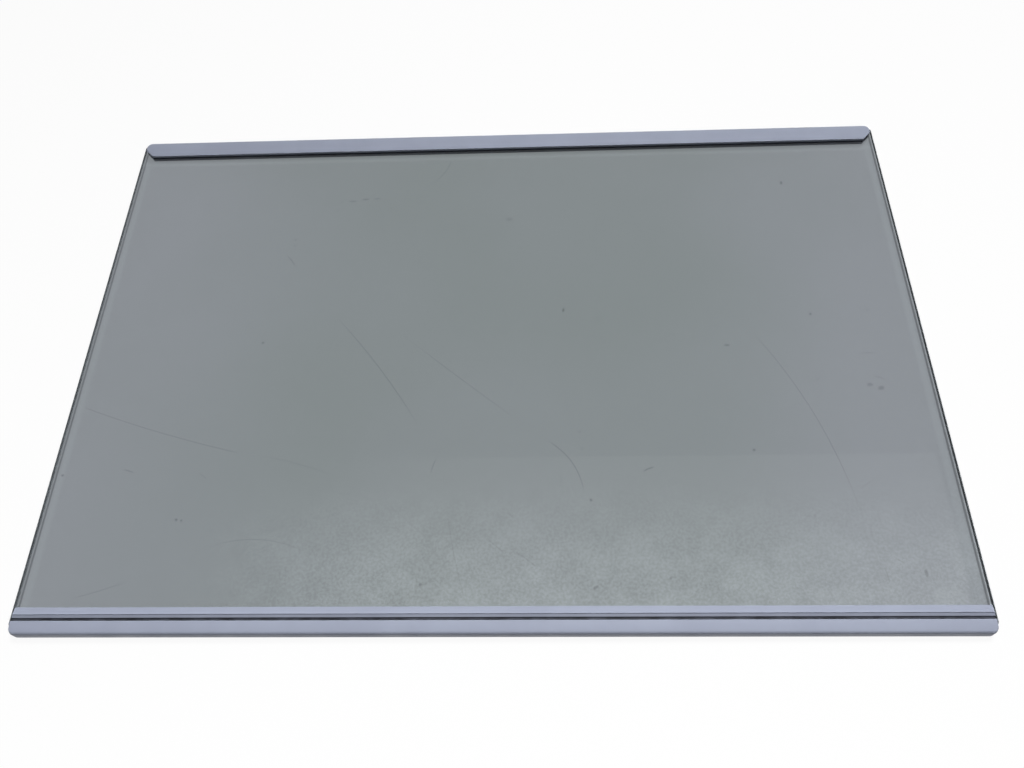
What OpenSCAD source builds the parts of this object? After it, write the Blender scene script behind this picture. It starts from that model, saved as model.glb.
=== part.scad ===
// Fridge crisper cover: a sheet of clear glass with a moulded trim pushed on its front and rear edges.
// X runs across the cover, Y from front to rear and Z up. The origin is at the centre of the
// footprint, on the surface that the undersides of both trims stand on. Sizes are in millimetres.

/* [Glass pane] */
// Width of the pane, side to side
pane_w = 520; // [400:1:700]
// Depth of the pane, front edge to rear edge
pane_d = 349.2; // [200:0.2:500]
// Thickness of the glass
pane_t = 4; // [3:0.5:6]
// Width of the ground bevel round the faces
pane_bevel = 0.5; // [0.2:0.1:1]
// How much is ground off each corner in plan
pane_corner = 1.5; // [1:0.5:4]

/* [Both trims] */
// How far each end of a trim stops short of the pane's side edge
trim_inset = 1.5; // [0:0.5:5]
// Height of the trims above the glass
cap_t = 1.5; // [1.3:0.1:3]
// Thickness of the flange under the glass
base_t = 1.6; // [1.2:0.1:3]

/* [Front trim] */
// Depth of the front trim, front face to lip edge
front_d = 14.8; // [14:0.2:20]
// How far the front trim reaches over the pane
front_grip = 10; // [8:0.5:10.5]
// Width of the nose, front face to groove
nose_w = 7.3; // [6:0.1:8]
// Radius of the nose's front edge
nose_r = 1.8; // [1:0.1:2.5]
// Radius of the slight crown over the nose
crown_r = 34; // [20:1:100]
// Radius of the nose's rear edge, at the groove
nose_back_r = 0.4; // [0.2:0.1:0.8]
// Radius of the front face's lower edge
toe_r = 0.8; // [0.4:0.1:1.5]
// Width of the groove behind the nose
groove_w = 1.4; // [1:0.1:2]
// Thickness of plastic left between the groove and the glass
groove_skin = 0.3; // [0.2:0.1:0.5]
// Width of the ledge behind the groove
ledge_w = 1.9; // [1:0.1:2.5]
// Drop from the crest to the ledge
ledge_drop = 0.7; // [0.4:0.1:0.9]
// Radius of the crest's edge
crest_r = 0.25; // [0.1:0.05:0.3]
// Thickness of the lip at its edge
lip_t = 0.4; // [0.3:0.1:0.8]
// Radius of the hollow ramp from the lip to the crest
ramp_r = 12; // [8:1:40]
// How much shorter the flange below the glass is than the lip above it
flange_short = 1.5; // [0:0.5:4]
// Radius of the nose's corners in plan
nose_corner_r = 3; // [2:0.5:4]

/* [Pockets under the nose] */
// Thickness of the nose's front wall
front_wall = 1.6; // [1.2:0.1:1.8]
// Thickness of the wall that the pane's front edge stops against
stop_wall = 1.3; // [1:0.1:1.6]
// Thickness of the plastic over the pockets
pocket_roof = 1.6; // [1.2:0.1:2.5]
// Thickness of the ribs between the pockets
rib_t = 1.2; // [0.8:0.1:2]
// Pitch of the ribs, about
rib_pitch = 40; // [25:1:80]
// Thickness of the nose beyond the last pocket
end_wall = 2.2; // [1.8:0.1:4]

/* [Rear trim] */
// Depth of the rear trim, lip edge to rear face
rear_d = 12.8; // [11:0.1:18]
// Thickness of the rear trim's wall behind the pane
rear_wall = 1.8; // [1.2:0.1:3]
// Radius of the rear trim's upper rear edge
rear_top_r = 0.8; // [0.4:0.1:1.3]
// Radius of the rear trim's lower rear edge
rear_toe_r = 0.5; // [0.3:0.1:1]
// Radius of the rear trim's lip edges
rear_lip_r = 0.3; // [0.1:0.1:0.5]
// How much is clipped off the lips' corners, across
clip_w = 6; // [2:0.5:12]
// How much is clipped off the lips' corners, front to rear
clip_d = 6.5; // [2:0.5:8]
// Radius of the rear trim's rear corners in plan
rear_corner_r = 4; // [1:0.5:4]

/* [Fits] */
// Gap between each face of the glass and the channel that grips it
grip_gap = 0.05; // [0.02:0.01:0.1]
// Gap between the edge of the glass and the wall behind it
edge_gap = 0.2; // [0.1:0.1:0.5]

/* [Hidden] */

// Steps of each round stretch in an outline
round_steps = 8;
// How far a cutter runs past what it cuts
past = 1;

trim_w = pane_w - 2 * trim_inset;
channel_h = pane_t + 2 * grip_gap;
trim_h = base_t + channel_h + cap_t;
pane_z = base_t + grip_gap;
rear_grip = rear_d - rear_wall - edge_gap;
overall_d = pane_d + (front_d - front_grip) + (rear_d - rear_grip);
front_y = -overall_d / 2;
rear_y = overall_d / 2;
pane_y = front_y + front_d - front_grip;

// Places in the front trim's section, whose X is the distance behind the front face
stop_x = front_d - front_grip - edge_gap;
crest_x = nose_w + groove_w + ledge_w;
channel_top = base_t + channel_h;
groove_z = channel_top + groove_skin;
ledge_z = trim_h - ledge_drop;

// Centre of the crown's arc, with its highest point where the nose's rear edge starts
crown_c = [nose_w - nose_back_r, trim_h - crown_r];
// Centre of the front edge's arc, which runs smoothly into the crown
nose_c = [nose_r, crown_c[1] + sqrt(pow(crown_r - nose_r, 2) - pow(crown_c[0] - nose_r, 2))];
// Direction of the point where those two arcs meet
nose_a = atan2(nose_c[1] - crown_c[1], nose_c[0] - crown_c[0]);

// Ends of the ramp, and the centre of its arc above them
ramp_from = [crest_x + crest_r, trim_h];
ramp_to = [front_d, channel_top + lip_t];
ramp_c = arc_centre(ramp_from, ramp_to, ramp_r);
ramp_a0 = atan2(ramp_from[1] - ramp_c[1], ramp_from[0] - ramp_c[0]);
ramp_a1 = atan2(ramp_to[1] - ramp_c[1], ramp_to[0] - ramp_c[0]);

// Inside of the nose's end walls, and the pockets' share of the length between them
pockets_w = trim_w - 2 * end_wall;
pocket_n = max(1, round(pockets_w / rib_pitch));
pocket_l = (pockets_w - (pocket_n - 1) * rib_t) / pocket_n;

// Points of an arc round c from angle a0 to a1
function arc(c, r, a0, a1) =
    [for (i = [0:round_steps]) let (a = a0 + (a1 - a0) * i / round_steps) c + r * [cos(a), sin(a)]];

// Centre of the arc of radius r from p to q that lies above the chord between them
function arc_centre(p, q, r) =
    let (mid = (p + q) / 2, d = q - p, half = norm(d) / 2, up = [-d[1], d[0]] / norm(d))
    mid + up * sqrt(r * r - half * half);

// Outline of the front trim's section: nose, groove, ledge, crest, ramp, lip and the pane's channel
function front_outline() = concat(
    arc([toe_r, toe_r], toe_r, 270, 180),
    arc(nose_c, nose_r, 180, nose_a),
    arc(crown_c, crown_r, nose_a, 90),
    arc([nose_w - nose_back_r, trim_h - nose_back_r], nose_back_r, 90, 0),
    [[nose_w, groove_z], [nose_w + groove_w, groove_z]],
    [[nose_w + groove_w, ledge_z], [crest_x, ledge_z]],
    arc([crest_x + crest_r, trim_h - crest_r], crest_r, 180, 90),
    arc(ramp_c, ramp_r, ramp_a0, ramp_a1),
    [[front_d, channel_top], [stop_x, channel_top]],
    [[stop_x, base_t], [front_d - flange_short, base_t], [front_d - flange_short, 0]]
);

// Outline of the rear trim's section, whose X is the distance ahead of the rear face
function rear_outline() = concat(
    arc([rear_toe_r, rear_toe_r], rear_toe_r, 270, 180),
    arc([rear_top_r, trim_h - rear_top_r], rear_top_r, 180, 90),
    arc([rear_d - rear_lip_r, trim_h - rear_lip_r], rear_lip_r, 90, 0),
    [[rear_d, channel_top], [rear_wall, channel_top], [rear_wall, base_t], [rear_d, base_t]],
    arc([rear_d - rear_lip_r, rear_lip_r], rear_lip_r, 0, -90)
);

// Plan of the front trim, with both nose corners rounded
function front_plan() =
    let (x = trim_w / 2, r = nose_corner_r)
    concat(
        [[x, front_d], [-x, front_d]],
        arc([r - x, r], r, 180, 270),
        arc([x - r, r], r, 270, 360)
    );

// Plan of the rear trim, from its rear face: rounded rear corners and clipped lip corners
function rear_plan() =
    let (x = trim_w / 2, r = rear_corner_r)
    concat(
        [[x, rear_d - clip_d], [x - clip_w, rear_d], [clip_w - x, rear_d], [-x, rear_d - clip_d]],
        arc([r - x, r], r, 180, 270),
        arc([x - r, r], r, 270, 360)
    );

// A section drawn in X and Y, laid along the X axis with its X to the rear and its Y up
module along_x(length) {
    rotate([90, 0, 90]) translate([0, 0, -length / 2]) linear_extrude(length) children();
}

// Section of a pane that is size wide, with its edges bevelled
module bevelled_section(size) {
    b = pane_bevel;
    polygon([
        [b, 0], [size - b, 0], [size, b], [size, pane_t - b],
        [size - b, pane_t], [b, pane_t], [0, pane_t - b], [0, b]
    ]);
}

// Plan of the pane, with its corners ground off
module pane_plan() {
    x = pane_w / 2;
    c = pane_corner;
    polygon([
        [c - x, 0], [x - c, 0], [x, c], [x, pane_d - c],
        [x - c, pane_d], [c - x, pane_d], [-x, pane_d - c], [-x, c]
    ]);
}

// The glass, as the part that two bevelled bars and the plan have in common
module pane() {
    color([0.54, 0.56, 0.57, 0.6])
    translate([0, pane_y, pane_z])
    intersection() {
        along_x(pane_w) bevelled_section(pane_d);
        translate([-pane_w / 2, pane_d, 0]) rotate([90, 0, 0]) linear_extrude(pane_d)
            bevelled_section(pane_w);
        linear_extrude(pane_t) pane_plan();
    }
}

// The pockets that keep the nose's walls thin, cut from below between the ribs
module nose_pockets() {
    for (i = [0:pocket_n - 1])
        translate([-pockets_w / 2 + i * (pocket_l + rib_t), front_wall, -past])
            cube([pocket_l, stop_x - stop_wall - front_wall, trim_h - pocket_roof + past]);
}

// The front trim: its section laid along the pane, cut to plan and hollowed under the nose
module front_trim() {
    color([0.66, 0.69, 0.76])
    translate([0, front_y, 0])
    difference() {
        intersection() {
            along_x(trim_w) polygon(front_outline());
            linear_extrude(trim_h) polygon(front_plan());
        }
        nose_pockets();
    }
}

// The rear trim: a channel with clipped lip corners, drawn from its rear face and turned round
module rear_trim() {
    color([0.66, 0.69, 0.76])
    translate([0, rear_y, 0])
    rotate([0, 0, 180])
    intersection() {
        along_x(trim_w) polygon(rear_outline());
        linear_extrude(trim_h) polygon(rear_plan());
    }
}

pane();
front_trim();
rear_trim();
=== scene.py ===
"""The looks of a fridge crisper cover: a sheet of clear glass with a white trim on its front and rear edge.

Everything is in metres in the part's own frame: X across the cover, Y from front to rear, Z up.
"""

from __future__ import annotations

import logging
import math
from collections.abc import Callable, Iterable
from dataclasses import dataclass, field
from enum import Enum

import bmesh
import bpy
from mathutils import Matrix, Vector

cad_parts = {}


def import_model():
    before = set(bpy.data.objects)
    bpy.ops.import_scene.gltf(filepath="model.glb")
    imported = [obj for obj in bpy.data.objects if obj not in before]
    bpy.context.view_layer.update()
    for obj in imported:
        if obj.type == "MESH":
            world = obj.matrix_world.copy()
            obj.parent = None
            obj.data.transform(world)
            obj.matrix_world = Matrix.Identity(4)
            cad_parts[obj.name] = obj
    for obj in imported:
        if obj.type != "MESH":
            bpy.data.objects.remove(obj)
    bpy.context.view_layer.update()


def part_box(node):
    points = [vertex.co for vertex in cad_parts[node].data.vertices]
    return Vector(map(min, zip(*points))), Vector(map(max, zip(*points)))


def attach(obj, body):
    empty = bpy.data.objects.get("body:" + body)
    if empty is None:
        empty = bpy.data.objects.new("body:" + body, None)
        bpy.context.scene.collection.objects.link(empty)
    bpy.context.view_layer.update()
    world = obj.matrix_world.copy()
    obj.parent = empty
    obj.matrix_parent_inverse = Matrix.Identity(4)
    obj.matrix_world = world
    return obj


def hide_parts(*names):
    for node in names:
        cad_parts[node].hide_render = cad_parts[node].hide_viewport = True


LOG = logging.getLogger("crisper_cover")
MM = 0.001
UP = Vector((0.0, 0.0, 1.0))

Colour = tuple[float, float, float]
Point = tuple[float, float]


def from_screen(red: int, green: int, blue: int) -> Colour:
    """Turns a screen colour of 0 to 255 into the linear colour that a shader takes.

    Args:
        red: The red value.
        green: The green value.
        blue: The blue value.

    Returns:
        The linear red, green and blue.
    """

    def straighten(value: int) -> float:
        """Undoes the screen's curve for one value."""
        share = value / 255
        return share / 12.92 if share <= 0.04045 else ((share + 0.055) / 1.055) ** 2.4

    return straighten(red), straighten(green), straighten(blue)


def clear_bench() -> None:
    """Leaves edit mode and deselects everything."""
    if bpy.context.mode != "OBJECT":
        bpy.ops.object.mode_set(mode="OBJECT")
    bpy.ops.object.select_all(action="DESELECT")


class Pick(Enum):
    """What an edit-mode step selects."""

    CORNERS = "VERT"
    EDGES = "EDGE"
    FACES = "FACE"


@dataclass(frozen=True)
class Spot:
    """Where an element of a mesh lies, and the way it runs or faces."""

    middle: Vector
    way: Vector


class Workpiece:
    """One mesh on the bench, shaped by operators on what is selected by its place."""

    def __init__(self, name: str) -> None:
        """Takes up the primitive that was just added, and settles its place into its mesh.

        Args:
            name: The name that the piece keeps.
        """
        self.obj = bpy.context.object
        self.obj.name = name
        self.obj.data.name = name
        bpy.ops.object.transform_apply(location=True, rotation=True, scale=True)

    @classmethod
    def block(cls, name: str, low: Vector, high: Vector) -> Workpiece:
        """Adds a block.

        Args:
            name: The name that the piece keeps.
            low: The block's lowest corner.
            high: Its highest corner.

        Returns:
            The block as a workpiece.
        """
        clear_bench()
        bpy.ops.mesh.primitive_cube_add(
            size=1, location=(low + high) / 2, scale=high - low
        )
        return cls(name)

    def pick(self, kind: Pick, test: Callable[[Spot], bool]) -> int:
        """Selects the corners, edges or faces that pass a test, in edit mode.

        Args:
            kind: What is selected.
            test: Says of an element's place whether it is wanted.

        Returns:
            How many were selected.
        """
        self._take_up()
        bpy.ops.object.mode_set(mode="EDIT")
        bpy.ops.mesh.select_mode(type=kind.value)
        bpy.ops.mesh.select_all(action="DESELECT")
        mesh = bmesh.from_edit_mesh(self.obj.data)
        picked = 0
        for element in self._elements(mesh, kind):
            if test(self._spot(element, kind)):
                element.select_set(True)
                picked += 1
        mesh.select_flush_mode()
        bmesh.update_edit_mesh(self.obj.data)
        return picked

    def _take_up(self) -> None:
        """Makes this the only piece that is selected, in object mode."""
        clear_bench()
        self.obj.select_set(True)
        bpy.context.view_layer.objects.active = self.obj

    @staticmethod
    def _elements(mesh: bmesh.types.BMesh, kind: Pick) -> Iterable:
        """Gives the mesh's corners, edges or faces."""
        return {
            Pick.CORNERS: mesh.verts,
            Pick.EDGES: mesh.edges,
            Pick.FACES: mesh.faces,
        }[kind]

    @staticmethod
    def _spot(element: object, kind: Pick) -> Spot:
        """Gives an element's place and its way."""
        if kind is Pick.CORNERS:
            return Spot(element.co.copy(), Vector())
        if kind is Pick.EDGES:
            start, end = (v.co for v in element.verts)
            return Spot((start + end) / 2, (end - start).normalized())
        return Spot(element.calc_center_median(), element.normal.copy())

    def pull(self, by: Vector) -> None:
        """Extrudes what is selected by a distance."""
        bpy.ops.mesh.extrude_region_move(TRANSFORM_OT_translate={"value": by})

    def modify(self, kind: str, **settings: object) -> None:
        """Adds a modifier with its settings and applies it.

        Args:
            kind: Blender's name of the modifier.
            settings: Its settings by name.
        """
        self._take_up()
        step = self.obj.modifiers.new(kind.title(), kind)
        for key, value in settings.items():
            setattr(step, key, value)
        bpy.ops.object.modifier_apply(modifier=step.name)

    def carve(self, cutter: Workpiece) -> None:
        """Cuts another workpiece out of this one, and throws that one away."""
        self.modify("BOOLEAN", operation="DIFFERENCE", solver="EXACT", object=cutter.obj)
        bpy.data.objects.remove(cutter.obj)

    def settle(self, crease: float) -> bpy.types.Object:
        """Turns every face outwards and smooths what bends less than the crease.

        Args:
            crease: The angle in degrees from which an edge stays sharp.

        Returns:
            The finished object.
        """
        self.pick(Pick.FACES, lambda spot: True)
        bpy.ops.mesh.normals_make_consistent(inside=False)
        bpy.ops.object.mode_set(mode="OBJECT")
        bpy.ops.object.shade_smooth_by_angle(angle=math.radians(crease))
        return self.obj


class Section(Workpiece):
    """A section in the YZ plane, traced by pulling one point along lines and spinning it round arcs."""

    def __init__(self, name: str, origin_y: float, start: Point) -> None:
        """Lays the first point down.

        Args:
            name: The name that the piece keeps.
            origin_y: Where the section's first axis starts, in millimetres on Y.
            start: The first point, in millimetres.
        """
        self.origin_y = origin_y
        self.at = start
        clear_bench()
        bpy.ops.mesh.primitive_plane_add(size=MM, location=self._place(start))
        super().__init__(name)
        self.pick(Pick.CORNERS, lambda spot: True)
        bpy.ops.mesh.merge(type="CENTER")

    def _place(self, point: Point) -> Vector:
        """Gives a section point's place in the part's frame."""
        return Vector((0.0, self.origin_y + point[0], point[1])) * MM

    def line(self, *points: Point) -> Section:
        """Pulls the end of the outline straight to each point in turn.

        Args:
            points: The points to reach, in millimetres.

        Returns:
            The section, so that calls can be chained.
        """
        for point in points:
            self.pull(self._place(point) - self._place(self.at))
            self.at = point
        return self

    def arc(self, centre: Point, turn: float, steps: int) -> Section:
        """Spins the end of the outline about a centre.

        Args:
            centre: The arc's centre, in millimetres.
            turn: The angle in degrees, positive from the section's first axis towards Z.
            steps: How many straight stretches the arc has.

        Returns:
            The section, so that calls can be chained.
        """
        # Spin turns clockwise about its axis for a positive angle
        bpy.ops.mesh.spin(
            steps=steps,
            angle=-math.radians(turn),
            center=self._place(centre),
            axis=(1.0, 0.0, 0.0),
        )
        spread = complex(*self.at) - complex(*centre)
        end = complex(*centre) + spread * complex(
            math.cos(math.radians(turn)), math.sin(math.radians(turn))
        )
        self.at = (end.real, end.imag)
        return self

    def close(self) -> None:
        """Joins the last point to the first and fills the outline with a face."""
        bpy.ops.mesh.select_all(action="SELECT")
        bpy.ops.mesh.remove_doubles(threshold=0.01 * MM)
        bpy.ops.mesh.select_all(action="SELECT")
        bpy.ops.mesh.edge_face_add()
        bpy.ops.mesh.select_mode(type="FACE")


class Sheet:
    """A node tree that is being wired up, whose inputs take numbers, colours or other nodes' outputs."""

    def __init__(self, tree: bpy.types.NodeTree) -> None:
        """Starts on a tree.

        Args:
            tree: The node tree that gets the nodes.
        """
        self.tree = tree

    def put(self, kind: str, inputs: dict | None = None, **settings: object) -> bpy.types.Node:
        """Adds a node.

        Args:
            kind: Blender's name of the node's type.
            inputs: A value or another node's output for each input, by its name or number.
            settings: The node's own settings.

        Returns:
            The new node.
        """
        node = self.tree.nodes.new(kind)
        for key, value in settings.items():
            setattr(node, key, value)
        for key, value in (inputs or {}).items():
            self.feed(node.inputs[key], value)
        return node

    def feed(self, socket: bpy.types.NodeSocket, value: object) -> None:
        """Gives an input a value, or links another node's output to it."""
        if isinstance(value, bpy.types.NodeSocket):
            self.tree.links.new(value, socket)
        elif socket.type == "RGBA" and len(value) == 3:
            socket.default_value = (*value, 1.0)
        else:
            socket.default_value = value

    def sum(self, operation: str, *terms: object, clamp: bool = False) -> bpy.types.NodeSocket:
        """Adds a Math node and gives its output.

        Args:
            operation: Blender's name of the operation.
            terms: Its terms, as numbers or outputs.
            clamp: Whether the result is kept between 0 and 1.

        Returns:
            The result.
        """
        node = self.put("ShaderNodeMath", dict(enumerate(terms)), operation=operation)
        node.use_clamp = clamp
        return node.outputs[0]

    def ramp(self, value: object, low: object, high: object, start: object, end: object) -> bpy.types.NodeSocket:
        """Runs smoothly from a start to an end as a value goes from low to high.

        Args:
            value: What is read.
            low: Where the rise starts.
            high: Where it ends.
            start: The result at low and below.
            end: The result at high and above.

        Returns:
            The result.
        """
        return self.put(
            "ShaderNodeMapRange",
            {"Value": value, "From Min": low, "From Max": high, "To Min": start, "To Max": end},
            interpolation_type="SMOOTHSTEP",
        ).outputs[0]

    def blend(self, share: object, first: object, second: object) -> bpy.types.NodeSocket:
        """Mixes two colours.

        Args:
            share: How much of the second shows.
            first: The first colour.
            second: The second colour.

        Returns:
            The mixed colour.
        """
        node = self.put("ShaderNodeMix", data_type="RGBA")
        self.feed(node.inputs[0], share)
        self.feed(node.inputs[6], first)
        self.feed(node.inputs[7], second)
        return node.outputs[2]

    def millimetres(self) -> bpy.types.NodeSocket:
        """Gives the place on the part in millimetres."""
        place = self.put("ShaderNodeTexCoord").outputs["Object"]
        return self.put("ShaderNodeVectorMath", {0: place, 3: 1 / MM}, operation="SCALE").outputs[0]

    def group(self, tree: bpy.types.NodeTree, **inputs: object) -> bpy.types.NodeSocket:
        """Places a node group and gives its first output.

        Args:
            tree: The group.
            inputs: A value for each of its inputs, with _ for a space in the name.

        Returns:
            The group's first output.
        """
        node = self.put("ShaderNodeGroup", node_tree=tree)
        for key, value in inputs.items():
            self.feed(node.inputs[key.replace("_", " ")], value)
        return node.outputs[0]


class EffectKit:
    """The effects that several finishes share, each a node group that is built once."""

    def __init__(self) -> None:
        """Builds every group."""
        self.mottle = self._build_mottle()
        self.strip = self._build_strip()
        self.spot = self._build_spot()
        self.stroke = self._build_stroke()
        self.grain = self._build_grain()

    @staticmethod
    def _open(name: str, inputs: dict[str, str], output: str) -> tuple[Sheet, dict[str, bpy.types.NodeSocket], bpy.types.Node]:
        """Opens a new group with named inputs and one output.

        Args:
            name: The group's name.
            inputs: The kind of socket for each input's name.
            output: The name of the output, which is a value.

        Returns:
            The sheet to wire up, the inputs by name, and the group's output node.
        """
        tree = bpy.data.node_groups.new(name, "ShaderNodeTree")
        for key, kind in inputs.items():
            tree.interface.new_socket(key, in_out="INPUT", socket_type=f"NodeSocket{kind}")
        tree.interface.new_socket(output, in_out="OUTPUT", socket_type="NodeSocketFloat")
        sheet = Sheet(tree)
        entry = sheet.put("NodeGroupInput")
        return sheet, {key: entry.outputs[key] for key in inputs}, sheet.put("NodeGroupOutput")

    def _build_mottle(self) -> bpy.types.NodeTree:
        """Builds slow, soft patches from 0 to 1."""
        sheet, given, end = self._open(
            "soft_mottle", {"Place": "Vector", "Patch Size": "Float", "Detail": "Float"}, "Mottle"
        )
        scale = sheet.sum("DIVIDE", 1.0, given["Patch Size"])
        noise = sheet.put(
            "ShaderNodeTexNoise",
            {"Vector": given["Place"], "Scale": scale, "Detail": given["Detail"], "Roughness": 0.55},
        )
        sheet.feed(end.inputs[0], sheet.ramp(noise.outputs[0], 0.3, 0.7, 0.0, 1.0))
        return sheet.tree

    def _build_strip(self) -> bpy.types.NodeTree:
        """Builds a mask that is 1 between two places along one axis, with soft sides."""
        sheet, given, end = self._open(
            "soft_strip", {"Along": "Float", "From": "Float", "To": "Float", "Soft": "Float"}, "Mask"
        )
        half = sheet.sum("MULTIPLY", given["Soft"], 0.5)
        sides = []
        for edge, start, finish in (("From", 0.0, 1.0), ("To", 1.0, 0.0)):
            low = sheet.sum("SUBTRACT", given[edge], half)
            high = sheet.sum("ADD", given[edge], half)
            sides.append(sheet.ramp(given["Along"], low, high, start, finish))
        sheet.feed(end.inputs[0], sheet.sum("MULTIPLY", *sides))
        return sheet.tree

    def _build_spot(self) -> bpy.types.NodeTree:
        """Builds a round or oval spot, turned about Z, with a soft rim."""
        sheet, given, end = self._open(
            "oval_spot", {"Place": "Vector", "Centre": "Vector", "Turn": "Vector", "Half Size": "Vector"}, "Mask"
        )
        local = sheet.put(
            "ShaderNodeMapping",
            {"Vector": given["Place"], "Location": given["Centre"], "Rotation": given["Turn"], "Scale": given["Half Size"]},
            vector_type="TEXTURE",
        ).outputs[0]
        out = sheet.put("ShaderNodeVectorMath", {0: local}, operation="LENGTH").outputs["Value"]
        sheet.feed(end.inputs[0], sheet.ramp(out, 0.35, 1.1, 1.0, 0.0))
        return sheet.tree

    def _build_stroke(self) -> bpy.types.NodeTree:
        """Builds a thin bowed stroke that fades towards both ends."""
        sheet, given, end = self._open(
            "bowed_stroke",
            {"Place": "Vector", "Start": "Vector", "Turn": "Vector", "Reach": "Vector", "Bow": "Float", "Fade": "Float"},
            "Mask",
        )
        local = sheet.put(
            "ShaderNodeMapping",
            {"Vector": given["Place"], "Location": given["Start"], "Rotation": given["Turn"], "Scale": given["Reach"]},
            vector_type="TEXTURE",
        ).outputs[0]
        parts = sheet.put("ShaderNodeSeparateXYZ", {0: local})
        along, across = parts.outputs[0], parts.outputs[1]
        left = sheet.sum("SUBTRACT", 1.0, along)
        hump = sheet.sum("MULTIPLY", sheet.sum("MULTIPLY", along, left), given["Bow"])
        off = sheet.sum("ABSOLUTE", sheet.sum("SUBTRACT", across, hump))
        line = sheet.ramp(off, 0.3, 1.0, 1.0, 0.0)
        nearest = sheet.sum("MINIMUM", along, left)
        ends = sheet.ramp(nearest, 0.0, given["Fade"], 0.0, 1.0)
        sheet.feed(end.inputs[0], sheet.sum("MULTIPLY", line, ends))
        return sheet.tree

    def _build_grain(self) -> bpy.types.NodeTree:
        """Builds the height of a moulded or worn skin: fine grain over faint long drag lines."""
        sheet, given, end = self._open(
            "skin_grain", {"Place": "Vector", "Grain Size": "Float", "Drag Lines": "Float"}, "Height"
        )
        fine = sheet.put(
            "ShaderNodeTexNoise",
            {"Vector": given["Place"], "Scale": sheet.sum("DIVIDE", 1.0, given["Grain Size"]), "Detail": 3.0},
        ).outputs[0]
        drawn = sheet.put("ShaderNodeVectorMath", {0: given["Place"], 1: (0.05, 2.6, 2.6)}, operation="MULTIPLY").outputs[0]
        lines = sheet.put("ShaderNodeTexNoise", {"Vector": drawn, "Scale": 1.0, "Detail": 2.0}).outputs[0]
        sheet.feed(end.inputs[0], sheet.sum("MULTIPLY_ADD", lines, given["Drag Lines"], fine))
        return sheet.tree


@dataclass(frozen=True)
class Scratch:
    """A scratch on the glass, in millimetres across the cover and behind the front lip."""

    start: Point
    end: Point
    bow: float
    width: float
    depth: float
    fade: float = 0.25


@dataclass(frozen=True)
class Fleck:
    """A chip, spot or smudge on a face, in millimetres, darker than what is round it."""

    centre: Point
    half: Point
    depth: float
    turn: float = 0.0


def dots(depth: float, half: float, *centres: Point) -> tuple[Fleck, ...]:
    """Makes round flecks of one size and depth.

    Args:
        depth: How dark they are, from 0 to 1.
        half: Their radius in millimetres.
        centres: Where they lie.

    Returns:
        The flecks.
    """
    return tuple(Fleck(centre, (half, half), depth) for centre in centres)


# Scratches on the glass, longest first
SCRATCHES = (
    Scratch((-110, 194), (-40, 97.5), 3.4, 0.95, 0.30, 0.35),
    Scratch((-72, 183), (30, 97), -0.9, 0.9, 0.22, 0.45),
    Scratch((29, 98), (50.5, 64), 4.8, 1.0, 0.34, 0.2),
    Scratch((-255, 124.5), (-148, 90.7), -1.9, 0.9, 0.26, 0.1),
    Scratch((-150, 91.3), (-80, 70.5), 3.0, 0.8, 0.16, 0.5),
    Scratch((145, 187.5), (203, 39), 10.5, 0.9, 0.24, 0.3),
    Scratch((-27, 57.5), (-14, 1), -1.1, 0.8, 0.18, 0.2),
    Scratch((-63, 60), (-32, 34), 0.3, 0.8, 0.13, 0.3),
    Scratch((-166, 31), (-94, 25), 9.8, 0.8, 0.20, 0.3),
    Scratch((-232, 4), (-198, 15), -0.5, 0.8, 0.22, 0.25),
    Scratch((-35, 322), (-48, 297.5), 2.6, 1.1, 0.22, 0.25),
    Scratch((-4.5, 38), (6, 29), 0.3, 0.8, 0.24, 0.2),
    Scratch((11, 30.5), (24, 21), 0.4, 0.8, 0.24, 0.2),
    Scratch((8, 21), (27.5, 4), 0.5, 0.8, 0.12, 0.3),
    Scratch((7, 53), (11, 50), 0.0, 0.9, 0.2),
    Scratch((-142, 237), (-135, 227), 0.4, 1.2, 0.34, 0.3),
    Scratch((-218, 81.5), (-210, 79), 0.2, 1.0, 0.32),
    Scratch((-173, 79), (-167, 75), 0.2, 0.9, 0.24),
    Scratch((-37, 77), (-34, 87), 0.4, 1.0, 0.3),
    Scratch((84, 77), (91, 80), 0.4, 1.3, 0.42),
    Scratch((190, 135), (192.5, 137), 0.0, 1.0, 0.3),
    Scratch((207.5, 21), (209, 12), 0.3, 1.0, 0.26),
    Scratch((215, 25), (219, 22.5), 0.0, 1.0, 0.24),
    Scratch((202.5, 65), (212.5, 71), 0.3, 0.9, 0.12),
    Scratch((218, 154), (229, 153.5), 0.3, 1.0, 0.2),
    Scratch((224, 138), (231, 135), 0.3, 1.0, 0.2),
    Scratch((-119.5, 285), (-121, 277.5), 0.2, 1.1, 0.18),
    Scratch((37, 77), (37.5, 70), 0.2, 0.9, 0.14),
    Scratch((-110, 149), (-108, 148), 0.0, 1.0, 0.24),
)

# Chips, spots and smudges on the upper face of the glass, darkest first
FLECKS = (
    *dots(0.5, 1.1, (-148, 168), (-253, 78), (-180, 50), (-39, 12), (54, 60), (194, 183), (148, 90)),
    Fleck((41, 189), (1.1, 2.0), 0.5),
    Fleck((55, 10), (2.2, 1.0), 0.5, 30),
    Fleck((191, 291), (1.2, 2.2), 0.45),
    Fleck((140.2, 161), (2.2, 1.0), 0.42),
    Fleck((229, 17), (1.1, 3.2), 0.5),
    Fleck((227, 129.5), (2.6, 1.8), 0.36, 20),
    Fleck((221, 132), (2.4, 1.6), 0.3),
    *dots(0.42, 0.9, (-177, 49.5), (95, 15), (-112, 275), (-138, 250), (-138, 245), (62, 182.5)),
    Fleck((-102.5, 283), (3.6, 1.0), 0.3),
    Fleck((-93.5, 284.5), (3.2, 1.0), 0.32),
    Fleck((-85.5, 284.8), (2.6, 1.0), 0.28),
    Fleck((6, 264), (3.0, 2.2), 0.2),
)

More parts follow.
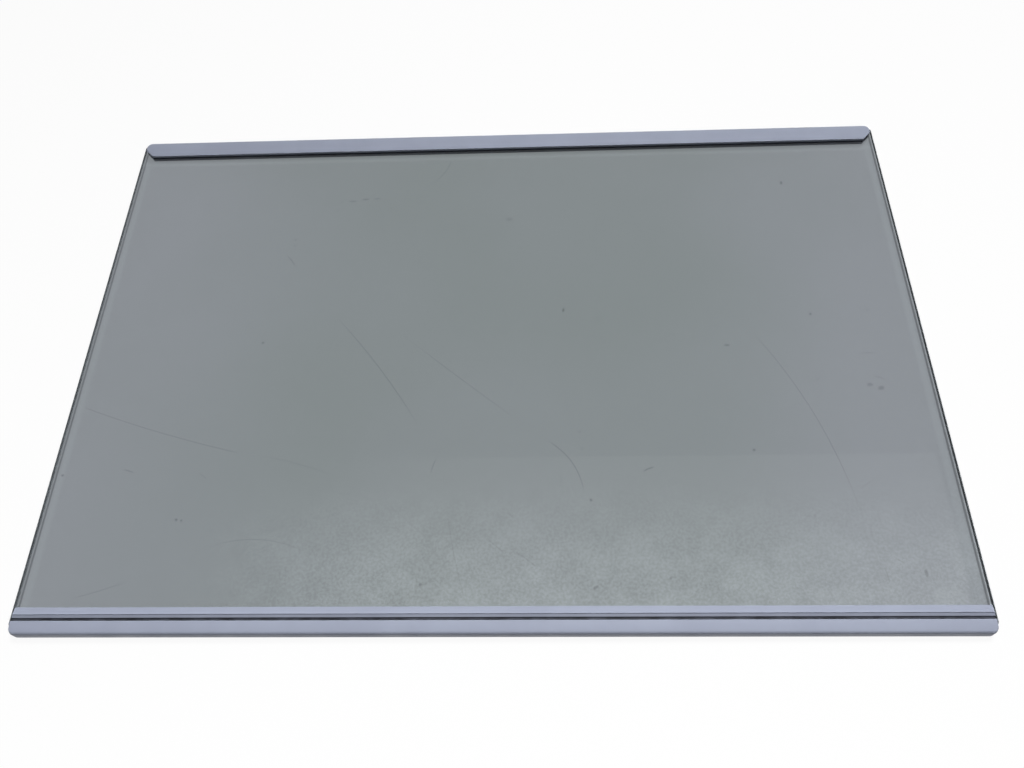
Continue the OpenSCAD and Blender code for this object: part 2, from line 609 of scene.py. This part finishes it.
# Faint spots on the lower face, which show through
FAINT_FLECKS = (
    *dots(0.28, 1.0, (-111, 284.5), (-75.5, 277), (-55, 288), (-58, 245.5), (-17, 210), (76, 306)),
    *dots(0.28, 1.0, (122, 293), (152, 250), (142, 225), (230, 187), (105, 165), (49, 104)),
    *dots(0.26, 0.9, (50, 93), (109.5, 99), (177, 51), (-15, 316), (-14, 312), (43, 117)),
    *dots(0.16, 0.9, (-111, 236.5), (-119.5, 209), (-146.5, 196), (-144, 222), (-81.5, 130), (-160, 44.5)),
    *dots(0.16, 0.9, (119, 97), (89, 139), (42, 149.5), (107, 38), (165, 299), (82, 239), (242.5, 248)),
)


@dataclass(frozen=True)
class ShadeAndGrimeStrip:
    """A strip along a trim that is darkened, in millimetres, and how strongly: painted shade in a recess, with some
    grime.
    """

    start: float
    end: float
    below: float
    amount: float


@dataclass(frozen=True)
class MouldedPlastic:
    """Cool white moulded plastic with a satin skin, lightly worn, with painted shade and some grime in its recesses.
    """

    name: str
    colour: Colour
    shade: Colour
    shade_and_grime: Colour
    roughness: float = 0.42
    flecks: tuple[Fleck, ...] = ()
    shade_and_grime_strips: tuple[ShadeAndGrimeStrip, ...] = ()

    def build(self, kit: EffectKit) -> bpy.types.Material:
        """Wires the finish up.

        Args:
            kit: The shared effects.

        Returns:
            The material.
        """
        material = bpy.data.materials.new(self.name)
        material.use_nodes = True
        sheet = Sheet(material.node_tree)
        shader = material.node_tree.nodes["Principled BSDF"]
        place = sheet.millimetres()
        parts = sheet.put("ShaderNodeSeparateXYZ", {0: place})
        patches = sheet.group(kit.mottle, Place=place, Patch_Size=22.0, Detail=3.0)
        colour = sheet.blend(sheet.sum("MULTIPLY", patches, 0.55), self.colour, self.shade)
        grain = sheet.group(kit.grain, Place=place, Grain_Size=0.35, Drag_Lines=0.8)
        wear = sheet.ramp(grain, 0.55, 1.1, 0.0, 0.12)
        colour = sheet.blend(wear, colour, self.shade)
        for fleck in self.flecks:
            mask = sheet.group(
                kit.spot,
                Place=place,
                Centre=(*fleck.centre, 7.2),
                Half_Size=(*fleck.half, 30.0),
            )
            colour = sheet.blend(sheet.sum("MULTIPLY", mask, fleck.depth), colour, self.shade_and_grime)
        strip_patchiness = sheet.group(kit.mottle, Place=place, Patch_Size=9.0, Detail=4.0)
        # Painted shade with some grime: each strip darkens a recess below a height.
        for band in self.shade_and_grime_strips:
            strip = sheet.group(kit.strip, Along=parts.outputs[1], From=band.start, To=band.end, Soft=0.12)
            deep = sheet.ramp(parts.outputs[2], band.below - 0.3, band.below, 1.0, 0.0)
            amount = sheet.sum("MULTIPLY_ADD", strip_patchiness, 0.15 * band.amount, 0.85 * band.amount)
            cover = sheet.sum("MULTIPLY", sheet.sum("MULTIPLY", strip, deep), amount)
            colour = sheet.blend(cover, colour, self.shade_and_grime)
        sheet.feed(shader.inputs["Base Color"], colour)
        sheet.feed(
            shader.inputs["Roughness"],
            sheet.sum("MULTIPLY_ADD", patches, 0.08, self.roughness),
        )
        shader.inputs["IOR"].default_value = 1.5
        bump = sheet.put("ShaderNodeBump", {"Height": grain, "Strength": 0.12, "Distance": 0.05 * MM})
        sheet.feed(shader.inputs["Normal"], bump.outputs[0])
        return material


@dataclass(frozen=True)
class ClearGlass:
    """Clear toughened glass with a grey-green cast and, on its upper face, the marks of use."""

    name: str
    middle: Colour
    sides: Colour
    # The lighter colour used for the painted reflection and the painted halo.
    painted_light_colour: Colour = (0.5, 0.55, 0.57)
    marks: tuple[Scratch, ...] = ()
    flecks: tuple[Fleck, ...] = ()
    lip_y: float = 0.0
    rear_y: float = 160.7
    rim: Point = (252.0, 255.5)
    # Where the painted edge shadow runs, in millimetres from the middle.
    line: Point = (257.5, 258.6)

    def build(self, kit: EffectKit) -> bpy.types.Material:
        """Wires the finish up.

        Args:
            kit: The shared effects.

        Returns:
            The material.
        """
        material = bpy.data.materials.new(self.name)
        material.use_nodes = True
        sheet = Sheet(material.node_tree)
        shader = material.node_tree.nodes["Principled BSDF"]
        place = sheet.millimetres()
        parts = sheet.put("ShaderNodeSeparateXYZ", {0: place})
        # Painted light: the lighter sides colour brightens the glass towards its side edges, over a random drift in
        # tone.
        aside = sheet.ramp(sheet.sum("ABSOLUTE", parts.outputs[0]), 90.0, 260.0, 0.0, 1.0)
        drift = sheet.group(kit.mottle, Place=place, Patch_Size=150.0, Detail=1.0)
        cast = sheet.sum("MULTIPLY_ADD", drift, 0.3, sheet.sum("MULTIPLY", aside, 0.85), clamp=True)
        colour = sheet.blend(cast, self.middle, self.sides)
        worn = self._marks(sheet, kit, place)
        if self.marks:
            # Painted reflection: the front of the sheet, more to the right, is lightened with a fine speckle.
            colour = sheet.blend(self._painted_front_reflection(sheet, kit, place, parts), colour, self.painted_light_colour)
            # Painted light: a lighter halo inside the side edges and before the rear trim.
            colour = sheet.blend(self._rim_light(sheet, kit, parts), colour, self.painted_light_colour)
        else:
            # Painted shadow: a thin dark line inside each side edge, where the ground edge's shadow falls under the
            # glass.
            colour = sheet.blend(self._painted_edge_shadow(sheet, kit, parts), colour, (0.02, 0.025, 0.03))
        colour = sheet.blend(worn, colour, (0.02, 0.025, 0.03))
        sheet.feed(shader.inputs["Base Color"], colour)
        sheet.feed(shader.inputs["Roughness"], sheet.sum("MULTIPLY_ADD", worn, 0.1, 0.02, clamp=True))
        shader.inputs["IOR"].default_value = 1.52
        shader.inputs["Transmission Weight"].default_value = 1.0
        self._let_light_through(sheet, shader, colour)
        return material

    def _marks(self, sheet: Sheet, kit: EffectKit, place: bpy.types.NodeSocket) -> object:
        """Adds up the scratches and flecks.

        Args:
            sheet: The material's sheet.
            kit: The shared effects.
            place: The place on the part in millimetres.

        Returns:
            How much of each place is marked, from 0 to 1.
        """
        total: object = 0.0
        for mark in self.marks:
            run = Vector(mark.end) - Vector(mark.start)
            mask = sheet.group(
                kit.stroke,
                Place=place,
                Start=(mark.start[0], mark.start[1] + self.lip_y, 0.0),
                Turn=(0.0, 0.0, math.atan2(run.y, run.x)),
                Reach=(run.length, mark.width / 2, 1.0),
                Bow=8 * mark.bow / mark.width,
                Fade=mark.fade,
            )
            total = sheet.sum("MULTIPLY_ADD", mask, mark.depth, total)
        for fleck in self.flecks:
            mask = sheet.group(
                kit.spot,
                Place=place,
                Centre=(fleck.centre[0], fleck.centre[1] + self.lip_y, 5.65),
                Turn=(0.0, 0.0, math.radians(fleck.turn)),
                Half_Size=(*fleck.half, 30.0),
            )
            total = sheet.sum("MULTIPLY_ADD", mask, fleck.depth, total)
        return total

    def _painted_front_reflection(
        self, sheet: Sheet, kit: EffectKit, place: bpy.types.NodeSocket, parts: bpy.types.Node
    ) -> bpy.types.NodeSocket:
        """Paints a lighter, finely speckled reflection over the front of the sheet, stronger towards the right.

        Args:
            sheet: The material's sheet.
            kit: The shared effects.
            place: The place on the part in millimetres.
            parts: The same place taken apart.

        Returns:
            How much haze each place has, from 0 to 1.
        """
        near = sheet.ramp(parts.outputs[1], self.lip_y, self.lip_y + 85.0, 1.0, 0.0)
        right = sheet.ramp(parts.outputs[0], -190.0, -60.0, 0.0, 1.0)
        fine = sheet.group(kit.mottle, Place=place, Patch_Size=1.5, Detail=2.0)
        broken = sheet.group(kit.mottle, Place=place, Patch_Size=16.0, Detail=3.0)
        reflection_speckle = sheet.sum("MULTIPLY_ADD", fine, 0.65, sheet.sum("MULTIPLY", broken, 0.45))
        return sheet.sum("MULTIPLY", sheet.sum("MULTIPLY", near, right), reflection_speckle)

    def _rim_light(self, sheet: Sheet, kit: EffectKit, parts: bpy.types.Node) -> bpy.types.NodeSocket:
        """Paints a lighter halo in a strip inside each side edge and before the rear trim.

        Args:
            sheet: The material's sheet.
            kit: The shared effects.
            parts: The place on the part in millimetres, taken apart.

        Returns:
            How much clearer each place is, from 0 to 1.
        """
        aside = sheet.sum("ABSOLUTE", parts.outputs[0])
        sides = sheet.group(kit.strip, Along=aside, From=self.rim[0], To=self.rim[1], Soft=3.0)
        rear = sheet.group(kit.strip, Along=parts.outputs[1], From=self.rear_y - 4.0, To=self.rear_y, Soft=4.0)
        return sheet.sum("MULTIPLY", sheet.sum("MAXIMUM", sheet.sum("MULTIPLY", sides, 0.6), rear), 0.45)

    def _painted_edge_shadow(self, sheet: Sheet, kit: EffectKit, parts: bpy.types.Node) -> bpy.types.NodeSocket:
        """Paints the thin dark line that runs inside each side edge of the lower face: the shadow of the ground edge
        on the floor beneath, seen through the glass.

        Args:
            sheet: The material's sheet.
            kit: The shared effects.
            parts: The place on the part in millimetres, taken apart.

        Returns:
            How dark each place is, from 0 to 1.
        """
        aside = sheet.sum("ABSOLUTE", parts.outputs[0])
        line = sheet.group(kit.strip, Along=aside, From=self.line[0], To=self.line[1], Soft=0.8)
        return sheet.sum("MULTIPLY", line, 0.75)

    @staticmethod
    def _let_light_through(sheet: Sheet, shader: bpy.types.Node, colour: object) -> None:
        """Lets lamps shine through the sheet, tinted, by showing shadow rays a clear pane.

        Args:
            sheet: The material's sheet.
            shader: The glass shader.
            colour: The glass's colour, which two faces share; not used.
        """
        clear = sheet.put("ShaderNodeBsdfTransparent", {"Color": (0.72, 0.73, 0.74)})
        path = sheet.put("ShaderNodeLightPath")
        mixed = sheet.put(
            "ShaderNodeMixShader", {0: path.outputs["Is Shadow Ray"], 1: shader.outputs[0], 2: clear.outputs[0]}
        )
        end = sheet.tree.nodes["Material Output"]
        sheet.feed(end.inputs["Surface"], mixed.outputs[0])


@dataclass(frozen=True)
class GroundEdge:
    """The dull ground edge of the glass, which catches grime."""

    name: str
    colour: Colour
    shade: Colour
    roughness: float = 0.5

    def build(self, kit: EffectKit) -> bpy.types.Material:
        """Wires the finish up.

        Args:
            kit: The shared effects.

        Returns:
            The material.
        """
        material = bpy.data.materials.new(self.name)
        material.use_nodes = True
        sheet = Sheet(material.node_tree)
        shader = material.node_tree.nodes["Principled BSDF"]
        place = sheet.millimetres()
        patches = sheet.group(kit.mottle, Place=place, Patch_Size=6.0, Detail=4.0)
        sheet.feed(shader.inputs["Base Color"], sheet.blend(patches, self.colour, self.shade))
        sheet.feed(shader.inputs["Roughness"], sheet.sum("MULTIPLY_ADD", patches, 0.15, self.roughness))
        grain = sheet.group(kit.grain, Place=place, Grain_Size=0.25, Drag_Lines=0.4)
        bump = sheet.put("ShaderNodeBump", {"Height": grain, "Strength": 0.3, "Distance": 0.05 * MM})
        sheet.feed(shader.inputs["Normal"], bump.outputs[0])
        return material


@dataclass
class CoverSizes:
    """The sizes that the pieces share, in millimetres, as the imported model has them."""

    height: float = 7.2
    channel_floor: float = 1.6
    channel_roof: float = 5.7
    trim_half: float = 258.5
    front_y: float = -178.0
    rear_y: float = 178.0


@dataclass
class GlassPane:
    """The sheet of glass with its ground edges."""

    low: Vector
    high: Vector
    corner: float = 1.5
    arris: float = 0.5

    def build(self) -> bpy.types.Object:
        """Models the sheet from a block, with ground corners and arrises.

        Returns:
            The finished sheet.
        """
        piece = Workpiece.block("glass_pane", self.low, self.high)
        piece.pick(Pick.EDGES, lambda spot: abs(spot.way.z) > 0.9)
        bpy.ops.mesh.bevel(offset=self.corner * MM, segments=3, affect="EDGES")
        middle = (self.low.z + self.high.z) / 2
        piece.pick(
            Pick.EDGES,
            lambda spot: abs(spot.way.z) < 0.1 and abs(spot.middle.z - middle) > 0.4 * (self.high.z - self.low.z),
        )
        bpy.ops.mesh.bevel(offset=self.arris * MM, segments=2, affect="EDGES")
        return piece.settle(5)

    def dress(self, piece: bpy.types.Object, upper: bpy.types.Material, lower: bpy.types.Material, edge: bpy.types.Material) -> None:
        """Gives the upper face, the lower face and the edges their finishes.

        Args:
            piece: The sheet.
            upper: The finish of the upper face.
            lower: The finish of the lower face.
            edge: The finish of the ground edges.
        """
        for material in (upper, lower, edge):
            piece.data.materials.append(material)
        for face in piece.data.polygons:
            face.material_index = 2 if abs(face.normal.z) < 0.99 else int(face.normal.z < 0)
        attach(piece, "root")
        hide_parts("pane")


@dataclass
class FrontTrim:
    """The front trim: nose, groove, ledge, crest, hollow ramp and lip over the channel for the glass."""

    sizes: CoverSizes
    toe: float = 0.8
    nose_round: float = 1.8
    crown: float = 34.0
    nose_back: float = 0.4
    nose_depth: float = 7.3
    groove_to: float = 8.95
    groove_floor: float = 6.0
    ledge_to: float = 10.6
    ledge_height: float = 6.8
    crest_round: float = 0.25
    ramp_round: float = 12.0
    lip_height: float = 6.1
    depth: float = 14.8
    flange: float = 13.3
    stop: float = 4.6
    corner: float = 3.0
    corner_steps: int = 8
    end_chamfer: float = 0.15
    pocket: tuple[float, float, float] = (38.32, 1.6, 3.3)
    pocket_pitch: float = 39.52
    pocket_count: int = 13
    pocket_roof: float = 5.6

    def build(self) -> bpy.types.Object:
        """Traces the section, pulls it out to both ends and cuts the pockets from below.

        Returns:
            The finished trim.
        """
        piece = self._trace()
        self._pull_to_end(piece)
        piece.pick(Pick.FACES, lambda spot: abs(spot.middle.x) < 0.01 * MM)
        bpy.ops.mesh.delete(type="ONLY_FACE")
        piece.modify("MIRROR", use_axis=(True, False, False), merge_threshold=0.01 * MM)
        self._cut_pockets(piece)
        return piece.settle(28)

    def _trace(self) -> Section:
        """Traces the section at the middle of the cover.

        Returns:
            The filled section.
        """
        top = self.sizes.height
        crown_at = (self.nose_depth - self.nose_back, top - self.crown)
        rise = math.sqrt((self.crown - self.nose_round) ** 2 - (crown_at[0] - self.nose_round) ** 2)
        nose_at = (self.nose_round, crown_at[1] + rise)
        meet = math.degrees(math.atan2(nose_at[1] - crown_at[1], nose_at[0] - crown_at[0]))
        ramp_from = (self.ledge_to + self.crest_round, top)
        ramp_at, ramp_turn = self._hollow(ramp_from, (self.depth, self.lip_height))
        section = Section("front_trim_moulding", self.sizes.front_y, (self.toe, 0.0))
        section.arc((self.toe, self.toe), -90, 4).line((0.0, nose_at[1]))
        section.arc(nose_at, meet - 180, 9).arc(crown_at, 90 - meet, 8)
        section.arc((crown_at[0], top - self.nose_back), -90, 5)
        section.line(
            (self.nose_depth, self.groove_floor),
            (self.groove_to, self.groove_floor),
            (self.groove_to, self.ledge_height),
            (self.ledge_to, self.ledge_height),
            (self.ledge_to, top - self.crest_round),
        )
        section.arc((ramp_from[0], top - self.crest_round), -90, 4).arc(ramp_at, ramp_turn, 10)
        section.line(
            (self.depth, self.sizes.channel_roof),
            (self.stop, self.sizes.channel_roof),
            (self.stop, self.sizes.channel_floor),
            (self.flange, self.sizes.channel_floor),
            (self.flange, 0.0),
            (self.toe, 0.0),
        )
        section.close()
        return section

    def _hollow(self, start: Point, end: Point) -> tuple[Point, float]:
        """Finds the arc of the ramp, whose centre lies above it.

        Args:
            start: The ramp's upper end.
            end: Its lower end.

        Returns:
            The arc's centre and its turn in degrees.
        """
        run = complex(*end) - complex(*start)
        half = abs(run) / 2
        centre = complex(*start) + run / 2 + 1j * run / abs(run) * math.sqrt(self.ramp_round**2 - half**2)
        return (centre.real, centre.imag), math.degrees(2 * math.asin(half / self.ramp_round))

    def _pull_to_end(self, piece: Section) -> None:
        """Pulls the section to the trim's end, drawing the nose back over the rounded corner.

        Args:
            piece: The filled section.
        """
        reach = self.sizes.trim_half - self.corner
        piece.pull(Vector((reach * MM, 0.0, 0.0)))
        keep = self.nose_depth
        last = math.asin(1 - self.end_chamfer / self.corner)
        for step in range(1, self.corner_steps + 1):
            angle = last * step / self.corner_steps
            further = self.sizes.trim_half - self.corner + self.corner * math.sin(angle)
            piece.pick(Pick.FACES, lambda spot, at=reach: spot.way.x > 0.9 and spot.middle.x > (at - 0.01) * MM)
            piece.pull(Vector(((further - reach) * MM, 0.0, 0.0)))
            reach = further
            left = self.nose_depth - self.corner * (1 - math.cos(angle))
            piece.pick(Pick.CORNERS, lambda spot, at=reach: self._on_nose(spot, at))
            bpy.ops.transform.resize(
                value=(1.0, left / keep, 1.0),
                center_override=(0.0, (self.sizes.front_y + self.nose_depth) * MM, 0.0),
            )
            keep = left
        piece.pick(Pick.FACES, lambda spot: spot.way.x > 0.9 and spot.middle.x > (reach - 0.01) * MM)
        bpy.ops.mesh.inset(thickness=self.end_chamfer * MM, depth=self.end_chamfer * MM)

    def _on_nose(self, spot: Spot, reach: float) -> bool:
        """Says whether a corner at the end just pulled lies on the nose's skin, off the channel's stop."""
        behind = spot.middle.y / MM - self.sizes.front_y
        on_stop = abs(behind - self.stop) < 0.01 and 1.0 < spot.middle.z / MM < 6.0
        return spot.middle.x > (reach - 0.01) * MM and behind < self.nose_depth - 0.01 and not on_stop

    def _cut_pockets(self, piece: Workpiece) -> None:
        """Cuts the row of pockets that keeps the nose's walls thin.

        Args:
            piece: The trim.
        """
        length, front, rear = self.pocket
        start = -(self.pocket_pitch * (self.pocket_count - 1) + length) / 2
        low = Vector((start, self.sizes.front_y + front, -1.0)) * MM
        high = Vector((start + length, self.sizes.front_y + rear, self.pocket_roof)) * MM
        cutter = Workpiece.block("pocket_cutter", low, high)
        cutter.modify(
            "ARRAY",
            count=self.pocket_count,
            use_relative_offset=False,
            use_constant_offset=True,
            constant_offset_displace=(self.pocket_pitch * MM, 0.0, 0.0),
        )
        piece.carve(cutter)

    def dress(self, piece: bpy.types.Object, finish: bpy.types.Material) -> None:
        """Gives the trim its finish and its place in the part.

        Args:
            piece: The trim.
            finish: The plastic.
        """
        piece.data.materials.append(finish)
        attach(piece, "root")
        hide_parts("front_trim")


@dataclass
class RearTrim:
    """The rear trim: a channel with rounded rear corners and clipped lip corners."""

    sizes: CoverSizes
    depth: float = 12.8
    wall: float = 1.8
    corner: float = 4.0
    clip: Point = (6.0, 6.5)
    rear_round: float = 0.8
    lip_round: float = 0.3

    def build(self) -> bpy.types.Object:
        """Shapes a block to the plan, rounds its edges and cuts the channel for the glass.

        Returns:
            The finished trim.
        """
        half, rear = self.sizes.trim_half, self.sizes.rear_y
        lip = rear - self.depth
        low = Vector((-half, lip, 0.0)) * MM
        high = Vector((half, rear, self.sizes.height)) * MM
        piece = Workpiece.block("rear_trim_moulding", low, high)
        piece.pick(Pick.EDGES, lambda spot: abs(spot.way.z) > 0.9 and spot.middle.y > 0.99 * high.y)
        bpy.ops.mesh.bevel(offset=self.corner * MM, segments=10, affect="EDGES")
        for side in (-1, 1):
            piece.pick(Pick.FACES, lambda spot: True)
            bpy.ops.mesh.bisect(
                plane_co=Vector((side * (half - self.clip[0]), lip, 0.0)) * MM,
                plane_no=Vector((side * self.clip[1], -self.clip[0], 0.0)).normalized(),
                use_fill=True,
                clear_outer=True,
            )
        self._round_edges(piece)
        cutter = Workpiece.block(
            "channel_cutter",
            Vector((-half - 2, lip - 1, self.sizes.channel_floor)) * MM,
            Vector((half + 2, rear - self.wall, self.sizes.channel_roof)) * MM,
        )
        piece.carve(cutter)
        return piece.settle(28)

    def _round_edges(self, piece: Workpiece) -> None:
        """Rounds the upper and lower edges, more at the rear and the ends than at the lips.

        Args:
            piece: The trim before its channel is cut.
        """
        top = self.sizes.height
        split = self.sizes.rear_y - self.depth + self.clip[1] - 0.01
        for level, behind in ((top, self.rear_round), (0.0, 0.5)):
            piece.pick(
                Pick.EDGES,
                lambda spot, z=level: abs(spot.middle.z / MM - z) < 0.01 and spot.middle.y / MM > split,
            )
            bpy.ops.mesh.bevel(offset=behind * MM, segments=5, affect="EDGES")
            piece.pick(
                Pick.EDGES,
                lambda spot, z=level: abs(spot.middle.z / MM - z) < 0.01
                and spot.middle.y / MM < split
                and abs(spot.way.x) > 0.5,
            )
            bpy.ops.mesh.bevel(offset=self.lip_round * MM, segments=3, affect="EDGES")

    def dress(self, piece: bpy.types.Object, finish: bpy.types.Material) -> None:
        """Gives the trim its finish and its place in the part.

        Args:
            piece: The trim.
            finish: The plastic.
        """
        piece.data.materials.append(finish)
        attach(piece, "root")
        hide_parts("rear_trim")


@dataclass
class Studio:
    """The floor, the lamps, the sky and the camera."""

    floor_size: float = 8.0
    floor_white: float = 0.98
    bounce_grey: float = 0.3
    camera_light: float = 0.93
    through_light: float = 0.6
    sky_fill: float = 0.13
    sky_gloss: float = 0.45
    key_power: float = 8.8
    key_size: Point = (0.7, 1.6)
    key_spread: float = 36.0
    key_way: Vector = field(default_factory=lambda: Vector((0.2, 0.4, 1.0)))
    key_far: float = 4.0
    key_aim: Vector = field(default_factory=lambda: Vector((0.0, -0.55, 0.0)))
    card_low: Vector = field(default_factory=lambda: Vector((-0.58, -0.2, 1.2)))
    card_high: Vector = field(default_factory=lambda: Vector((0.80, 0.49, 1.2)))
    card_light: tuple[float, float] = (0.7, 1.5)
    frame_shift: Point = (-0.0003, 0.0003)
    lens: float = 31.64
    eye: Vector = field(default_factory=lambda: Vector((0.032717, -0.299083, 0.475390)))
    right: Vector = field(default_factory=lambda: Vector((0.998975722, 0.009894555, -0.044154375)))
    down: Vector = field(default_factory=lambda: Vector((-0.013500806, -0.866178450, -0.499552414)))
    ahead: Vector = field(default_factory=lambda: Vector((-0.043188419, 0.499636856, -0.865157654)))

    def build(self) -> None:
        """Sets everything up round the part."""
        self._lay_floor()
        self._open_sky()
        self._hang_key()
        self._hang_card()
        self._place_camera()
        bpy.context.scene.view_settings.view_transform = "Standard"

    def _seen(self, sheet: Sheet) -> tuple[bpy.types.Node, bpy.types.NodeSocket]:
        """Tells the rays that show a background from those that only bounce light.

        Args:
            sheet: The tree that asks.

        Returns:
            The Light Path node, and 1 for camera, glossy and transmission rays.
        """
        path = sheet.put("ShaderNodeLightPath")
        seen = sheet.sum("MAXIMUM", path.outputs["Is Camera Ray"], path.outputs["Is Glossy Ray"])
        return path, sheet.sum("MAXIMUM", seen, path.outputs["Is Transmission Ray"])

    def _lay_floor(self) -> None:
        """Lays a pale floor that looks white, keeps the part's shadow and bounces little light."""
        clear_bench()
        bpy.ops.mesh.primitive_plane_add(size=self.floor_size)
        floor = bpy.context.object
        floor.name = "studio_floor"
        material = bpy.data.materials.new("pale_floor")
        material.use_nodes = True
        tree = material.node_tree
        tree.nodes.remove(tree.nodes["Principled BSDF"])
        sheet = Sheet(tree)
        path, seen = self._seen(sheet)
        pale = sheet.put("ShaderNodeBsdfDiffuse", {"Color": (self.floor_white,) * 3})
        dim = sheet.put("ShaderNodeBsdfDiffuse", {"Color": (self.bounce_grey,) * 3})
        white = sheet.put("ShaderNodeEmission", {"Color": (1.0, 1.0, 1.0), "Strength": 1.0})
        share = sheet.ramp(path.outputs["Is Transmission Ray"], 0.0, 1.0, self.camera_light, self.through_light)
        shown = sheet.put("ShaderNodeMixShader", {0: share, 1: pale.outputs[0], 2: white.outputs[0]})
        both = sheet.put("ShaderNodeMixShader", {0: seen, 1: dim.outputs[0], 2: shown.outputs[0]})
        sheet.feed(tree.nodes["Material Output"].inputs["Surface"], both.outputs[0])
        floor.data.materials.append(material)

    def _open_sky(self) -> None:
        """Makes the world white to look at, and dim as a light."""
        world = bpy.data.worlds.new("studio_sky")
        bpy.context.scene.world = world
        world.use_nodes = True
        sheet = Sheet(world.node_tree)
        path, seen = self._seen(sheet)
        shine = sheet.sum("SUBTRACT", 1.0, path.outputs["Is Camera Ray"])
        mirrored = sheet.sum("MULTIPLY", shine, self.sky_gloss - 1.0)
        shown = sheet.sum("ADD", 1.0, mirrored)
        sky = world.node_tree.nodes["Background"]
        sheet.feed(sky.inputs["Color"], (1.0, 1.0, 1.0))
        sheet.feed(sky.inputs["Strength"], sheet.ramp(seen, 0.0, 1.0, self.sky_fill, shown))

    def _hang_key(self) -> None:
        """Hangs the large soft lamp above and behind the part."""
        place = self.key_way.normalized() * self.key_far
        bpy.ops.object.light_add(type="AREA", location=place)
        lamp = bpy.context.object
        lamp.name = "soft_key"
        lamp.rotation_euler = (place - self.key_aim).to_track_quat("Z", "Y").to_euler()
        lamp.data.shape = "RECTANGLE"
        lamp.data.size, lamp.data.size_y = self.key_size
        lamp.data.spread = math.radians(self.key_spread)
        lamp.data.energy = self.key_power
        lamp.visible_glossy = False
        lamp.visible_transmission = False

    def _hang_card(self) -> None:
        """Hangs a soft card over the cover, which only the gloss of the glass shows."""
        clear_bench()
        size = self.card_high - self.card_low
        bpy.ops.mesh.primitive_plane_add(size=1, location=(self.card_low + self.card_high) / 2)
        card = bpy.context.object
        card.name = "soft_card"
        card.scale = (size.x, size.y, 1.0)
        bpy.ops.object.transform_apply(location=True, rotation=True, scale=True)
        material = bpy.data.materials.new("card_glow")
        material.use_nodes = True
        tree = material.node_tree
        tree.nodes.remove(tree.nodes["Principled BSDF"])
        sheet = Sheet(tree)
        place = sheet.put("ShaderNodeTexCoord").outputs["Object"]
        parts = sheet.put("ShaderNodeSeparateXYZ", {0: place})
        light = sheet.ramp(parts.outputs[1], self.card_low.y, self.card_high.y, self.card_light[1], self.card_light[0])
        lit = sheet.put("ShaderNodeEmission", {"Color": (1.0, 1.0, 1.0), "Strength": light})
        bare = sheet.put("ShaderNodeBsdfTransparent", {"Color": (1.0, 1.0, 1.0)})
        fade = sheet.ramp(parts.outputs[0], self.card_low.x, self.card_low.x + 0.5, 0.0, 1.0)
        both = sheet.put("ShaderNodeMixShader", {0: fade, 1: bare.outputs[0], 2: lit.outputs[0]})
        sheet.feed(tree.nodes["Material Output"].inputs["Surface"], both.outputs[0])
        card.data.materials.append(material)
        card.visible_camera = card.visible_diffuse = card.visible_shadow = False

    def _place_camera(self) -> None:
        """Stands the camera where the photograph was taken from."""
        data = bpy.data.cameras.new("photo_view")
        data.lens = self.lens
        data.sensor_width = 36.0
        data.clip_start = 0.01
        data.shift_x, data.shift_y = self.frame_shift
        camera = bpy.data.objects.new("photo_view", data)
        bpy.context.scene.collection.objects.link(camera)
        turned = Matrix((self.right, -self.down, -self.ahead)).transposed()
        camera.matrix_world = Matrix.Translation(self.eye) @ turned.to_4x4()
        bpy.context.scene.camera = camera


def main() -> None:
    """Builds the part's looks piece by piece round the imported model."""
    logging.basicConfig(level=logging.INFO, format="%(name)s: %(message)s")
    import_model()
    kit = EffectKit()
    sizes = CoverSizes()
    plastic = {
        "colour": from_screen(169, 176, 195),
        "shade": from_screen(161, 167, 186),
        "shade_and_grime": from_screen(30, 32, 40),
    }
    # The sides colour is lighter than the middle: painted light towards the glass's side edges.
    middle, sides = (0.280, 0.314, 0.319), (0.325, 0.350, 0.377)

    pane = GlassPane(*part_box("pane"))
    sheet = pane.build()
    lip_y = sizes.front_y + FrontTrim(sizes).depth
    glass = ClearGlass("clear_glass_upper", middle, sides, marks=SCRATCHES, flecks=FLECKS, lip_y=lip_y)
    under = ClearGlass("clear_glass_lower", middle, sides, flecks=FAINT_FLECKS, lip_y=lip_y)
    edge = GroundEdge("ground_glass_edge", from_screen(156, 162, 164), from_screen(132, 138, 142))
    pane.dress(sheet, glass.build(kit), under.build(kit), edge.build(kit))
    LOG.info("%s: %d faces", sheet.name, len(sheet.data.polygons))

    front = FrontTrim(sizes)
    front_piece = front.build()
    front_finish = MouldedPlastic(
        "white_plastic_front",
        # The groove is darkened fully and the ledge partly: painted shade in these recesses, with some grime.
        shade_and_grime_strips=(
            ShadeAndGrimeStrip(sizes.front_y + front.nose_depth, sizes.front_y + front.groove_to, 6.9, 1.0),
            ShadeAndGrimeStrip(sizes.front_y + front.groove_to, sizes.front_y + front.ledge_to + 0.1, 7.2, 0.38),
        ),
        **plastic,
    )
    front.dress(front_piece, front_finish.build(kit))
    LOG.info("%s: %d faces", front_piece.name, len(front_piece.data.polygons))

    rear = RearTrim(sizes)
    rear_piece = rear.build()
    rear.dress(rear_piece, MouldedPlastic("white_plastic_rear", **plastic).build(kit))
    LOG.info("%s: %d faces", rear_piece.name, len(rear_piece.data.polygons))

    Studio().build()


if __name__ == "__main__":
    main()
